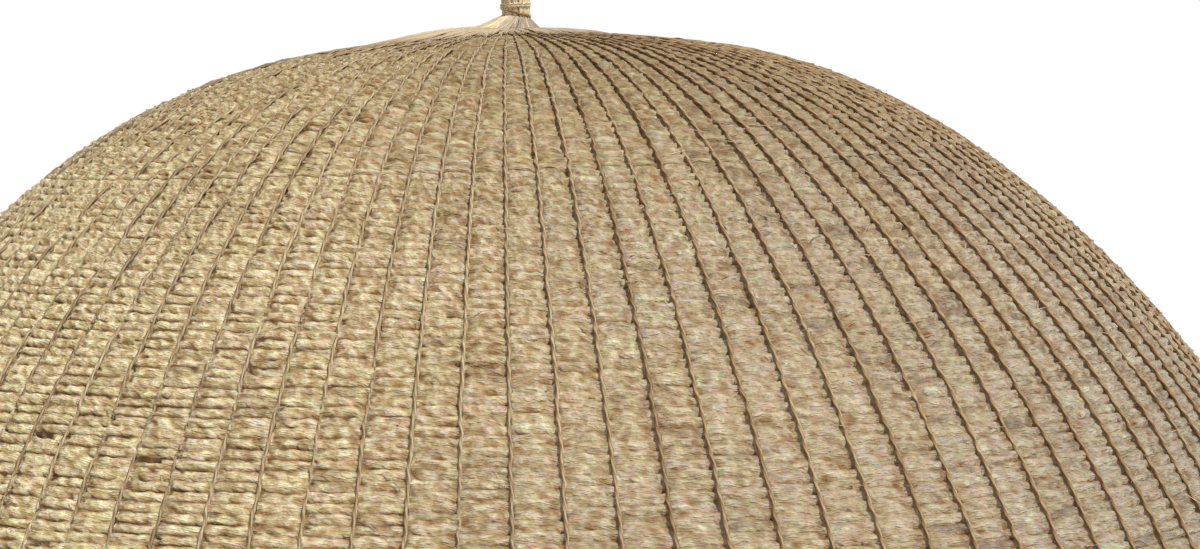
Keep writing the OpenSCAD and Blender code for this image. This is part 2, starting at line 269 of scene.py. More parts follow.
def thatchMaterial(fibre, weather, k=thatchLook):
    material, t, shader = newMaterial("thatch", k)
    lay, groove, place = t.lay(), t.attribute("groove"), t.add("SeparateXYZ", {0: t.place()})
    strands = t.add("Group", {"Vector": lay, "Depth": k["fibreDepth"]}, node_tree=fibre)
    patch, tufts, speckle = (t.streaks(lay, *k[name]) for name in ("patch", "tuft", "speckle"))
    tone = t.plus(t.attribute("tint"), t.spread(patch, *k["patchTint"]), clamp=True)
    colour = t.weathered(weather, t.ramp(tone, k["ramp"]), k["weather"])
    # painted light on the left side and painted shade on the right side
    sunny = t.math("POWER", t.spread(place["X"], *k["paintedLightAcross"]), k["paintedLightPower"])
    colour = t.mix(t.times(sunny, k["paintedLightAmount"]), colour, k["paintedLight"])
    colour = t.mix(t.times(t.spread(place["X"], *k["paintedShadeAcross"]), k["paintedShadeAmount"]), colour, k["paintedShade"])
    light = t.times(strands["Shade"], t.spread(tufts, *k["tuftShade"]))
    calm = t.spread(place["X"], *k["calmAcross"])
    light = t.plus(t.times(light, t.minus(1.0, calm)), t.times(calm, k["calmLight"]))
    colour = t.darken(colour, t.mix(light, k["shadow"], k["light"]))
    hues = {0: speckle, 1: [k["hue"]] * 3, 2: [1 - 0.5 * k["hue"]] * 3}
    hued = t.darken(colour, t.add("VectorMath", hues, operation="MULTIPLY_ADD")[0])
    colour = t.mix(k["hueAmount"], colour, hued)
    # darker towards the top, most on the right
    crown = t.times(t.spread(place["Z"], *k["crownUp"]), t.spread(place["X"], *k["crownAcross"]))
    colour = t.mix(crown, colour, k["crown"], "MULTIPLY")
    # painted shade in the gaps and pits, darkest in deep places on the left
    colour = t.mix(t.times(groove, t.spread(patch, *k["gapShadePatch"])), colour, gapShadeAndBrown)
    hole = t.times(t.spread(groove, *k["holeShadeFromGroove"]), t.spread(place["X"], *k["holeShadeAcross"]))
    colour = t.mix(hole, colour, k["hole"])
    t.dress(shader, colour, t.plus(strands["Height"], t.times(tufts, k["tuftHeight"])), k["bump"])
    return material


ropeLook = {
    "roughness": 0.88, "specular": 0.2, "weather": 0.4, "bump": 0.004,
    "ramp": [(0.0, 142, 122, 94), (0.5, 180, 160, 126), (1.0, 206, 188, 154)],
    "layLength": 0.045, "plies": 2, "plyHeight": 0.8, "fuzz": (6, 260, 1), "fuzzHeight": 0.4,
    "shade": (0.1, 0.8, 0.55, 1.06),
}


def ropeMaterial(weather, k=ropeLook):
    material, t, shader = newMaterial("rope", k)
    lay = t.lay()
    parts = t.add("SeparateXYZ", {0: lay})
    twist = t.plus(t.times(parts["Y"], fullTurn / k["layLength"]), t.times(parts["X"], fullTurn * k["plies"]))
    ply = t.spread(t.math("SINE", twist), -1.0, 1.0)
    height = t.plus(t.times(ply, k["plyHeight"]), t.times(t.streaks(lay, k["fuzz"]), k["fuzzHeight"]))
    colour = t.weathered(weather, t.ramp(t.attribute("tint"), k["ramp"]), k["weather"])
    colour = t.darken(colour, t.spread(height, *k["shade"]))
    # the groove attribute paints shade on one side of each rope of the net
    t.dress(shader, t.mix(t.attribute("groove"), colour, gapShadeAndBrown), height, k["bump"])
    return material


strawLook = {
    "roughness": 0.7, "specular": 0.3, "bump": 0.001, "fuzz": (9, 40, 1), "shade": (0.3, 0.7, 0.72, 1.05),
    "ramp": [(0.0, 152, 136, 126), (0.35, 188, 172, 152), (0.7, 216, 202, 168),
             (1.0, 252, 232, 192)],
}


def strawMaterial(k=strawLook):
    material, t, shader = newMaterial("straw", k)
    fuzz = t.streaks(t.lay(), k["fuzz"])
    colour = t.darken(t.ramp(t.attribute("tint"), k["ramp"]), t.spread(fuzz, *k["shade"]))
    t.dress(shader, t.mix(t.attribute("groove"), colour, gapShadeAndBrown), fuzz, k["bump"])
    return material


woodLook = {
    "roughness": 0.85, "specular": 0.25, "bump": 0.012, "contrast": (0.3, 0.72),
    "bark": ((26, 26, 9), 0.0, 6.0, 0.62),
    "ramp": [(0.0, 62, 46, 34), (0.45, 98, 76, 56), (0.8, 128, 104, 80),
             (1.0, 150, 128, 104)],
}


def woodMaterial(k=woodLook):
    material, t, shader = newMaterial("wood", k)
    bark = t.streaks(t.place(), *k["bark"])
    t.dress(shader, t.ramp(t.spread(bark, *k["contrast"]), k["ramp"]), bark, k["bump"])
    return material


clayLook = {
    "roughness": 0.93, "specular": 0.2, "bump": 0.008, "worn": (3.5, 8.0, 0.6), "contrast": (0.3, 0.7),
    "crackScale": 7, "crackWidth": 0.03, "crackShade": (0.0, 1.0, 0.75, 1.0), "crackDepth": 0.25,
    "ramp": [(0.0, 96, 74, 58), (0.5, 126, 100, 80), (1.0, 150, 124, 102)],
}


def clayMaterial(k=clayLook):
    material, t, shader = newMaterial("clay", k)
    place = t.place()
    worn = t.noise(place, *k["worn"])
    crack = t.add("TexVoronoi", {"Vector": place, "Scale": k["crackScale"]}, feature="DISTANCE_TO_EDGE")["Distance"]
    gap = t.spread(crack, 0.0, k["crackWidth"])
    colour = t.darken(t.ramp(t.spread(worn, *k["contrast"]), k["ramp"]), t.spread(gap, *k["crackShade"]))
    t.dress(shader, colour, t.plus(worn, t.times(gap, k["crackDepth"])), k["bump"])
    return material


floorLook = {"roughness": 0.9, "specular": 0.1, "colour": (0.86, 0.86, 0.85, 1), "whiteFrom": (4.5, 9.0)}


def floorMaterial(k=floorLook):
    material, t, shader = newMaterial("floor", k)
    shader.inputs["Base Color"].default_value = k["colour"]
    far = t.add("VectorMath", {0: t.place()}, operation="LENGTH")["Value"]
    faded = t.times(t.spread(far, *k["whiteFrom"]), t.add("LightPath")["Is Camera Ray"])
    mixed = t.add("MixShader", {0: faded, 1: shader.outputs[0], 2: t.add("Emission")[0]})[0]
    t.put(t.tree.nodes["Material Output"].inputs["Surface"], mixed)
    return material


def makeMaterials():
    fibre, weather = fibreGroup(fibreSettings), weatherGroup(weatherSettings)
    return {"thatch": thatchMaterial(fibre, weather), "rope": ropeMaterial(weather), "straw": strawMaterial(),
            "wood": woodMaterial(), "clay": clayMaterial(), "floor": floorMaterial()}


# The dome's outline, as in the CAD: three arcs that share their tangents

domeSettings = {
    "radius": 3.0, "height": 2.8, "thickness": 0.14, "seatGap": 0.0003,
    "crownRadius": 4.1, "crownAngle": 10.5, "shoulderRadius": 2.1, "shoulderAngle": 37.0, "footAngle": 62.0,
    "gores": 108, "sectorGores": 18,      # a gore runs from one rope of the net to the next
}
front = math.radians(-90)
gores = domeSettings["gores"]
goreAngle = fullTurn / gores


def share(x, low, high):
    return clip((x - low) / (high - low), 0, 1)


def fade(least, x):
    return least + (1 - least) * x


def makeArcs(d):
    heading = lambda a: array([math.sin(a), math.cos(a)])
    crown, shoulder = math.radians(d["crownAngle"]), math.radians(d["shoulderAngle"])
    crownCentre = array([0, d["height"] - d["crownRadius"]])
    shoulderCentre = crownCentre + (d["crownRadius"] - d["shoulderRadius"]) * heading(crown)
    shoulderEnd = shoulderCentre + d["shoulderRadius"] * heading(shoulder)
    chord = array([d["radius"], 0]) - shoulderEnd
    wallRadius = -(chord @ chord) / (2 * (chord @ heading(shoulder)))
    wallCentre = shoulderEnd - wallRadius * heading(shoulder)
    ground = math.acos(-wallCentre[1] / wallRadius)
    return [(crownCentre, d["crownRadius"], 0.0, crown), (shoulderCentre, d["shoulderRadius"], crown, shoulder),
            (wallCentre, wallRadius, shoulder, ground)]


arcs = makeArcs(domeSettings)
arcEnds = np.cumsum([reach * (bottom - top) for centre, reach, top, bottom in arcs])
footStart = arcEnds[1] + arcs[2][1] * math.radians(domeSettings["footAngle"] - domeSettings["shoulderAngle"])


# Radius, height and slope at a distance s down the outline, lifted off it

def alongDome(s, lift=0.0):
    s = np.asarray(s, float)
    angle, radius, height = np.zeros_like(s), np.zeros_like(s), np.zeros_like(s)
    start = 0.0
    for i, (centre, reach, top, bottom) in enumerate(arcs):
        here = (s >= start) if i else np.ones_like(s, bool)
        a = top + (s - start) / reach
        angle = where(here, a, angle)
        radius = where(here, centre[0] + (reach + lift) * sin(a), radius)
        height = where(here, centre[1] + (reach + lift) * cos(a), height)
        start = arcEnds[i]
    return radius, height, angle


def placeOnDome(azimuth, s, lift=0.0):
    radius, height, angle = alongDome(s, lift)
    return stack([radius * cos(azimuth), radius * sin(azimuth), height], -1)


def outwardOnDome(azimuth, s):
    angle = alongDome(s)[2]
    return stack([sin(angle) * cos(azimuth), sin(angle) * sin(azimuth), cos(angle)], -1)


outline = linspace(0, arcEnds[2], 4000)


def sForRadius(radius):
    return float(np.interp(radius, alongDome(outline)[0], outline))


def sForHeight(height):
    return float(np.interp(-height, -alongDome(outline)[1], outline))


# Meshes from tables of points, with two maps: lay runs along the grass, and OFBake has no overlaps

def addTables(mesh, lay, bake, attributes):
    for label, table in (("lay", lay), ("OFBake", bake)):
        mesh.uv_layers.new(name=label).uv.foreach_set("vector", np.float32(table).ravel())
    for label, values in attributes.items():
        mesh.attributes.new(label, "FLOAT", "POINT").data.foreach_set("value", np.float32(values).ravel())


def makeObject(name, points, groups, material, attributes, body="root"):
    counts = array([len(face) for faces, lay, bake in groups for face in faces])
    loops, lays, bakes = (concatenate([concatenate(group[i]) for group in groups]) for i in range(3))
    mesh = bpy.data.meshes.new(name)
    mesh.vertices.add(len(points))
    mesh.vertices.foreach_set("co", np.float32(points).ravel())
    mesh.loops.add(len(loops))
    mesh.loops.foreach_set("vertex_index", np.int32(loops))
    mesh.polygons.add(len(counts))
    mesh.polygons.foreach_set("loop_start", np.int32(np.cumsum(counts) - counts))
    mesh.update(calc_edges=True)
    addTables(mesh, lays, bakes, attributes)
    mesh.polygons.foreach_set("use_smooth", np.ones(len(counts), bool))
    mesh.materials.append(material)
    mesh.validate()
    piece = addObject(name, mesh)
    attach(piece, body)
    return piece


def report(stage, *pieces):
    total = 0
    for piece in pieces:
        piece.data.calc_loop_triangles()
        total += len(piece.data.loop_triangles)
    print(f"{stage}: {total} triangles")


# The four corners of each cell in tables of rows and columns, across first or down first

def cellCorners(tables, downFirst=False):
    corners = [tables[:, :-1, :-1], tables[:, :-1, 1:], tables[:, 1:, 1:], tables[:, 1:, :-1]]
    if downFirst:
        corners[1], corners[3] = corners[3], corners[1]
    return stack(corners, 3).reshape(-1, 4, *tables.shape[3:])


# Tubes along paths, with a cell of the bake map for each

bakeCell = {"left": 0.04, "wide": 0.92, "low": 0.02, "tall": 0.94, "capAt": 0.975, "cap": 0.01}


def tubeTables(paths, radii, ups, sides, turn=0.0, bakeColumns=None):
    b = bakeCell
    strands, rings = paths.shape[:2]
    along = np.gradient(paths, axis=1)
    along /= np.linalg.norm(along, axis=2, keepdims=True)
    side = np.cross(along, ups)
    side /= np.linalg.norm(side, axis=2, keepdims=True)
    up = np.cross(side, along)
    radii = np.broadcast_to(radii, (strands, rings))[:, :, None, None]
    corners = fullTurn * arange(sides) / sides
    angle = (corners + turn * arange(rings)[:, None])[..., None]
    points = paths[:, :, None] + radii * (cos(angle) * up[:, :, None] + sin(angle) * side[:, :, None])
    index = arange(strands * rings * sides).reshape(strands, rings, sides)
    quads = cellCorners(concatenate([index, index[:, :, :1]], 2))
    steps = np.cumsum(np.linalg.norm(np.diff(paths, axis=1), axis=2), axis=1)
    length = concatenate([np.zeros((strands, 1)), steps], 1)[:, :, None]
    lay = stack(np.broadcast_arrays(arange(sides + 1) / sides, length), -1)
    columns = bakeColumns or math.ceil(math.sqrt(strands))
    rows = math.ceil(strands / columns)
    number = arange(strands)[:, None, None]
    inCell = lambda x, y: stack([(number % columns + x) / columns, (number // columns + y) / rows], -1)
    bake = inCell(b["left"] + b["wide"] * lay[..., 0], b["low"] + b["tall"] * lay[..., 1] / length[:, -1:])
    circle = 0.5 + 0.5 * stack([cos(corners), sin(corners)], -1)
    capBake = inCell(b["left"] + b["cap"] * circle[:, 0], b["capAt"] + b["cap"] * circle[:, 1])[:, 0]
    caps = concatenate([index[:, 0, ::-1], index[:, -1]])
    capLay = np.zeros((2 * strands, sides, 2)) + b["cap"] * circle
    groups = [(quads, cellCorners(lay), cellCorners(bake)), (caps, capLay, concatenate([capBake, capBake]))]
    return points.reshape(-1, 3), groups


# Strands laid round a line, each point turned by an angle

def laidRound(centre, out, turn, strands, coil):
    angles = (turn + fullTurn * arange(strands)[:, None] / strands)[..., None]
    return centre + coil * (cos(angles) * out + sin(angles) * array([0, 0, 1]))


def levelWay(azimuth):
    return stack([cos(azimuth), sin(azimuth), 0 * azimuth], -1)


# A piece made of tubes, with its tint and how brown it is for each strand or for each ring

def tubePiece(name, paths, radii, ups, sides, material, tint, browned=0.0, bakeColumns=None):
    points, groups = tubeTables(paths, radii, ups, sides, bakeColumns=bakeColumns)
    each = lambda values: np.repeat(clip(np.broadcast_to(values, paths.shape[:2]), 0, 1), sides)
    return makeObject(name, points, groups, material, {"tint": each(tint), "groove": each(browned)})


# Thatch skin: pillows between the ropes, made of rungs of twisted grass

skinSettings = {
    "pillow": 0.014, "pillowShare": 0.20,          # height of a pillow, and its most as a share of its width
    "rung": 0.0055, "rungAtRope": 0.25, "sag": 0.006, "loose": 0.0020,
    "edge": 0.07, "gapFrom": 0.77, "gapAt": (0.865, 0.945),    # places as shares of a gore
    "ropePillow": 0.35, "leftDrop": 0.35, "rightDrop": 0.5,    # the pillow across a gore, as shares of its height
    "curve": 1.7, "gapDepth": (-0.45, -0.27),
    "ropeBody": 0.2, "edgeBody": 0.65,             # how much of a rung's relief is left there
    "fullWidth": 0.07, "leastSize": 0.35,          # all relief is smaller where a gore is narrower
    "upper": (1.95, 2.35),                         # heights between which the upper part begins
    "pit": 0.0078, "bridge": 1.7, "hole": 0.02, "beside": 1.7, "closed": 0.95, "closedPillow": 0.42,
    "bead": 0.007, "beadLow": 0.05, "beadUpper": 0.75, "beadFrom": 0.45,        # knobs of grass in the gap
    "lowBeside": 0.2, "clump": 0.0062, "clumpSize": 0.019, "coarse": 0.62, "fine": 0.38, "clumpInGap": 0.6,
    "grain": 0.0014, "grainAtRope": 0.35, "leastBead": 0.4,
    "slide": 0.018, "closedSlide": 0.07, "tintClump": 0.10, "tintGrain": 0.05,
}
# Painted shade on the skin: how dark each part is, from 0 to 1
skinShadeSettings = {
    "valley": 1.05, "openValley": 0.65, "leastDash": 0.25, "brokenShare": 0.4, "broken": 0.05,
    "clumpFrom": 0.22, "clump": 1.7, "ropeSide": 0.12,
    "gap": 0.58, "pit": 0.40, "close": 0.85, "bead": 0.8, "narrow": 0.4, "fullWidth": 0.14, "upperOpen": 0.25,
    "hole": 0.7, "lowUnder": 0.4, "most": 0.97,
}
rowShape = {    # down one rung: its start, and two places on it
    "v": [0, .32, .68], "rung": [-1, .65, .65], "gap": [1, .3, .3], "between": [1.0, 0, 0], "hole": [0, 1, 0],
    "beside": [.05, 1.0, .45], "under": [0, 1.0, .3], "scallop": [-.034, .016, .016],
}


# Across one gore: the rope, the strip of grass, highest on its left, and the gap before the next rope

def gorePattern(bodyColumns):
    s = skinSettings
    strip = linspace(s["edge"], s["gapFrom"], bodyColumns)
    t = (strip - s["edge"]) / (s["gapFrom"] - s["edge"])
    pillow, empty = 1 - s["leftDrop"] * (t == 0) - s["rightDrop"] * t ** s["curve"], np.zeros(bodyColumns)
    joined = lambda rope, body, after: concatenate([[rope], body, after])
    return {
        "u": joined(0, strip, s["gapAt"]),
        "pillow": joined(s["ropePillow"], pillow, s["gapDepth"]),
        "body": joined(s["ropeBody"], where((t == 0) | (t == 1), s["edgeBody"], 1.0), [0, 0]),
        "gap": joined(0.0, empty, [1, 1]), "rope": joined(1.0, empty, [0, 0]),
        "last": joined(0.0, 1.0 * (t == 1), [0, 0]), "beside": joined(0, [1.0, 0.25, *empty[2:]], [0, 0]),
    }


# Courses from the top down, each with its rungs and its columns of points in a strip of grass

courses, top, firstRung = {}, 0.10, 0
for name, bottom, rungs, bodyColumns in (("crown", arcEnds[0], 20, 2), ("shoulder", arcEnds[1], 31, 4),
                                         ("wall", footStart, 46, 5), ("foot", arcEnds[2], 36, 3)):
    courses[name] = {"from": top, "to": bottom, "rungs": rungs, "pitch": (bottom - top) / rungs,
                     "firstRung": firstRung, "columns": gorePattern(bodyColumns)}
    top, firstRung = bottom, firstRung + rungs
rungTotal = firstRung + 1


def blurred(cells, wide, tall):
    out = cells.copy()
    for axis, count in ((0, wide), (1, tall)):
        out = sum(np.roll(out, k, axis=axis) for k in range(-count, count + 1))
    out -= out.mean()
    return out / out.std()


# Values for each rung of each gore

cellSettings = {
    "longPatch": 0.75, "patch": 0.35, "tint": 0.47, "tintPatch": 0.13, "tintGrain": 0.19,
    "gapPlace": 0.9, "uneven": 0.08,               # where in a gore the gap lies, and how its side varies
    "open": (-0.30, 0.12), "flank": (0.35, 0.70),  # from left to right: gaps open, and the far right side
    "tone": 0.8, "tonePatch": 0.16, "toneGore": 0.07, "toneRange": (0.3, 1.1),
    "ranges": {"lift": (-1, 1), "sag": (0.4, 1.5), "rung": (0.45, 1.5), "gap": (0.2, 1.3), "bridge": (0.1, 1.2)},
    "hole": 0.010, "pitOnly": (0.45, (0.5, 1)),    # share of the cells, and the range in them
    "close": (0.12, (0.4, 0.9), (0, 0.3)),         # the same, and the range in the others
    "beside": (0.45, 1.0), "besideShare": (0.08, 0.80, 0.34),    # all over, and more on the left and the flank
    "seed": 11,
}


def makeCells(k):
    rng = default_rng(k["seed"])
    size = (gores, rungTotal)
    normal = lambda shape=size: rng.normal(size=shape)
    some = lambda part, ends, others=None: where(
        rng.random(size) < part, rng.uniform(*ends, size), rng.uniform(*others, size) if others else 0)
    patches = k["longPatch"] * blurred(normal(), 0, 4) + k["patch"] * blurred(normal(), 1, 1)
    tint = k["tint"] + k["tintPatch"] * patches + k["tintGrain"] * normal()
    toRight = cos(front + (arange(gores) + k["gapPlace"]) * goreAngle)[:, None]
    toRight = toRight + k["uneven"] * normal((gores, 1))
    opened, flank = share(toRight, *k["open"]), share(toRight, *k["flank"])
    made = {"tint": clip(tint, 0, 1), "open": opened + 0 * tint, "pitOnly": some(*k["pitOnly"])}
    tone = k["tone"] + k["tonePatch"] * blurred(normal(), 0, 1) + k["toneGore"] * normal((gores, 1))
    made["tone"] = clip(tone, *k["toneRange"])
    for name, ends in k["ranges"].items():
        made[name] = rng.uniform(*ends, size)
    made["hole"] = rng.random(size) < k["hole"]
    made["close"] = some(*k["close"])
    allOver, onLeft, onFlank = k["besideShare"]
    made["beside"] = some(allOver + onLeft * (1 - opened) + onFlank * flank, k["beside"])
    made["dash"] = rng.uniform(0, 1, size)
    return made


cells = makeCells(cellSettings)


# Smooth noise between random values on a grid

def clumps(across, down, seed, grid=128):
    table = default_rng(seed).uniform(-1, 1, (grid, grid))
    x, y = np.floor(across).astype(int), np.floor(down).astype(int)
    fx, fy = across - x, down - y
    fx, fy = fx * fx * (3 - 2 * fx), fy * fy * (3 - 2 * fy)
    at = lambda i, j: table[(x + i) % grid, (y + j) % grid]
    return (at(0, 0) * (1 - fx) + at(1, 0) * fx) * (1 - fy) + (at(0, 1) * (1 - fx) + at(1, 1) * fx) * fy


def skinTables(course, firstGore, goreCount, closed):
    s, d, shape = skinSettings, skinShadeSettings, course["columns"]
    m, n, steps = len(shape["u"]), course["rungs"], len(rowShape["v"])
    order = arange(steps * n + 1)[:, None]
    rungNumber, part = np.divmod(order, steps)
    gore, kind = np.divmod(arange(m * goreCount + (not closed))[None, :], m)
    column = {name: values[kind] for name, values in shape.items()}
    row = {name: array(values)[part] for name, values in rowShape.items()}
    at = ((gore + firstGore) % gores, rungNumber + course["firstRung"])
    cell = {name: table[at] for name, table in cells.items()}
    rng = default_rng(firstGore + 1000 * course["firstRung"] + 5)

    taper = clip(np.minimum(order, steps * n - order) / steps, 0, 1)
    down = course["from"] + (rungNumber + row["v"]) * course["pitch"]
    width = alongDome(down)[0] * goreAngle
    puff = np.minimum(s["pillow"], s["pillowShare"] * width)
    size = clip(width / s["fullWidth"], s["leastSize"], 1)
    u, body, inGap = column["u"], column["body"], column["gap"]
    down = down + taper * s["sag"] * size * cell["sag"] * 4 * u * (1 - u)
    upper = share(alongDome(down)[1], *s["upper"])
    opened, shut, dash = cell["open"], 1 - cell["open"], cell["dash"]

    rung = row["rung"] * s["rung"] * size * cell["rung"] * fade(s["rungAtRope"], body)
    close = inGap * clip(cell["close"] + shut * where(row["between"] > 0, cell["pitOnly"], s["closed"]), 0, 1)
    pit = inGap * (row["gap"] * cell["gap"] - s["bridge"] * (1 - row["gap"]) * cell["bridge"])
    hole = cell["hole"] * (body == 1) * row["hole"]
    beside = cell["beside"] * column["beside"] * row["beside"] * taper
    beside = beside * (1 - s["lowBeside"] * shut * (1 - upper))
    under = column["rope"] * shut ** 2 * cell["beside"] * row["under"] * taper
    across, deep = (gore + firstGore + u) * width / s["clumpSize"], down / s["clumpSize"]
    coarse = clumps(across + 0.6 * deep, 0.8 * deep - 0.5 * across, 3)
    fine = clumps(1.9 * across - 0.9 * deep, 1.7 * deep + 0.8 * across, 4)
    clump = (s["coarse"] * coarse + s["fine"] * fine) * (1 - column["rope"]) * (1 - s["clumpInGap"] * inGap) * taper
    grain = rng.normal(0, s["grain"], pit.shape) * size * fade(s["grainAtRope"], body) * taper
    bead = inGap * (1 - row["between"]) * opened * (s["beadLow"] + s["beadUpper"] * upper * (dash > s["beadFrom"]))
    lift = (s["bead"] * size * bead * fade(s["leastBead"], dash) * taper
            + puff * (column["pillow"] * (1 - close) + s["closedPillow"] * close) + rung * (1 - inGap * (1 - close))
            + s["loose"] * size * cell["lift"] * body + grain + s["clump"] * size * clump
            - size * (s["pit"] * pit * (1 - close) + s["hole"] * hole + s["beside"] * s["pit"] * beside))

    # painted shade: darker in rung valleys, low clumps, the gaps, pits and holes, and beside and under the ropes
    broken = fade(where(rng.random(pit.shape) < d["brokenShare"], 1.0, d["broken"]), 1 - shut * upper)
    valley = (d["valley"] - d["openValley"] * opened) * fade(d["leastDash"], dash)
    valley = valley * row["between"] * (body > 0.5) * broken
    valley = valley + clip(-d["clumpFrom"] - clump, 0, 1) * d["clump"]
    valley = valley + d["ropeSide"] * opened * (column["rope"] + column["last"])
    inside = (d["gap"] + d["pit"] * pit) * cell["tone"] * (1 - d["close"] * close) * (1 - d["bead"] * bead)
    inside = inside * fade(d["narrow"], clip(width / d["fullWidth"], 0, 1)) * (1 - d["upperOpen"] * upper * opened)
    groove = inGap * inside + valley * (1 - inGap) + d["hole"] * hole + beside + fade(d["lowUnder"], upper) * under

    slide = where(u > 0, rng.normal(0, s["slide"], pit.shape), 0) * taper + s["closedSlide"] * close
    slide = slide + row["scallop"] * (0.4 + 0.9 * dash) * taper * column["last"]
    down = down + rng.normal(0, s["grain"], pit.shape) * size * taper
    azimuth = front + (firstGore + gore + u + slide) * goreAngle + 0 * down
    points = placeOnDome(azimuth, down, lift)
    points[..., 2] = np.maximum(points[..., 2], 0)
    tint = clip(cell["tint"] + s["tintClump"] * clump + rng.normal(0, s["tintGrain"], pit.shape), 0, 1)
    return points, down, azimuth, tint, clip(groove, 0, d["most"])


# Places in a thatch piece's bake map: where each band starts, and how high it is
thatchBake = {
    "left": 0.01, "wide": 0.98, "outer": (0.99, -0.86), "inner": (0.01, 0.06), "top": (0.08, 0.01),
    "bottom": (0.095, 0.01), "ends": (0.11, 0.01), "doorway": (0.122, 0.003),
}
innerLook = {"tint": 0.35, "groove": 0.45}
doorwayLook = {"tint": 0.4, "groove": 0.4}


def thatchPiece(name, courseName, firstGore, goreCount, material):
    course, b = courses[courseName], thatchBake
    closed = goreCount == gores
    outer, down, azimuth, tint, groove = skinTables(course, firstGore, goreCount, closed)
    m, n = len(course["columns"]["u"]), course["rungs"]
    inAzimuth, inDown = np.meshgrid(front + (firstGore + arange(goreCount + (not closed))) * goreAngle,
                                    course["from"] + linspace(0, n, max(5, n // 4) + 1) * course["pitch"])
    inner = placeOnDome(inAzimuth, inDown, -domeSettings["thickness"])
    inner[..., 2] = np.maximum(inner[..., 2], 0)
    out = arange(down.size).reshape(down.shape)
    inn = down.size + arange(inDown.size).reshape(inDown.shape)
    wrap = lambda table, turn=0: concatenate([table, table[:, :1] + turn], 1) if closed else table
    outIndex, inIndex, azimuth = wrap(out), wrap(inn), wrap(azimuth, fullTurn)
    meanRadius = float(alongDome((course["from"] + course["to"]) / 2)[0])
    first, spanAzimuth, spanDown = azimuth[0, 0], azimuth[0, -1] - azimuth[0, 0], course["to"] - course["from"]

    def skin(index, azimuth, down, band):
        low, tall = b[band]
        lay = stack([azimuth * meanRadius, down], -1)
        bake = stack([b["left"] + b["wide"] * (azimuth - first) / spanAzimuth,
                      low + tall * (down - course["from"]) / spanDown], -1)
        return [cellCorners(table[None], True) for table in (index, lay, bake)]

    inside = skin(inIndex, wrap(inAzimuth, fullTurn), wrap(inDown), "inner")
    edges = ([], [], [])
    groups = [skin(outIndex, azimuth, wrap(down), "outer"), [table[:, ::-1] for table in inside], edges]

    def wall(ring, left, right, band):
        low, tall = b[band]
        t = linspace(0, 1, len(ring))
        edges[0].append(array(ring))
        edges[1].append(stack([t * 0.3, 0.02 * sin(t * 3)], -1))
        edges[2].append(stack([left + (right - left) * t, low + tall * sin(t * math.pi)], -1))

    for g in range(goreCount):
        top, bottom = (row[g * m:(g + 1) * m + 1] for row in (outIndex[0], outIndex[-1]))
        left, right = (b["left"] + b["wide"] * x / goreCount for x in (g, g + 0.9))
        wall([*top, inIndex[0, g + 1], inIndex[0, g]], left, right, "top")
        wall([*bottom[::-1], inIndex[-1, g], inIndex[-1, g + 1]], left, right, "bottom")
    if not closed:
        wall([*out[::-1, 0], *inn[:, 0]], 0.01, 0.45, "ends")
        wall([*out[:, -1], *inn[::-1, -1]], 0.5, 0.95, "ends")
    attributes = {label: concatenate([values.ravel(), np.full(inn.size, innerLook[label])])
                  for label, values in (("tint", tint), ("groove", groove))}
    points = concatenate([outer.reshape(-1, 3), inner.reshape(-1, 3)])
    return makeObject(name, points, groups, material, attributes)


# First gore of each sector
lowerSectors = [("front_right", 0), ("right", 18), ("back_right", 36), ("back_left", 54), ("left", 72),
                ("front_left", 90)]
upperSectors = [("front", -9), ("front_right", 9), ("back_right", 27), ("back", 45), ("back_left", 63),
                ("front_left", 81)]


def makeThatch(materials):
    made = {}
    for courseName, sectors in (("foot", lowerSectors), ("wall", lowerSectors), ("shoulder", upperSectors)):
        for sector, gore in sectors:
            node = f"{courseName}_thatch_{sector}"
            piece = thatchPiece(f"{courseName}Thatch_{sector}", courseName, gore, domeSettings["sectorGores"],
                                materials["thatch"])
            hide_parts(node)
            made[node] = piece
    piece = thatchPiece("crownThatch", "crown", 0, gores, materials["thatch"])
    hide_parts("crown_thatch")
    report("thatch", piece, *made.values())
    return made


# Doorway, in a frame that leans with the wall

doorSettings = {
    "width": 0.76, "sideHeight": 0.57, "pole": 0.056, "lean": math.radians(15.5),
    "below": 0.4, "reach": 0.45, "steps": 40, "clearTop": 1.06,
}
doorOuter = doorSettings["width"] / 2 + doorSettings["pole"]


def fromDoorway(points):
    lean = doorSettings["lean"]
    x, y, z = np.moveaxis(np.asarray(points, float), -1, 0)
    return stack([x, -domeSettings["radius"] + y * math.cos(lean) + z * math.sin(lean),
                  z * math.cos(lean) - y * math.sin(lean)], -1)


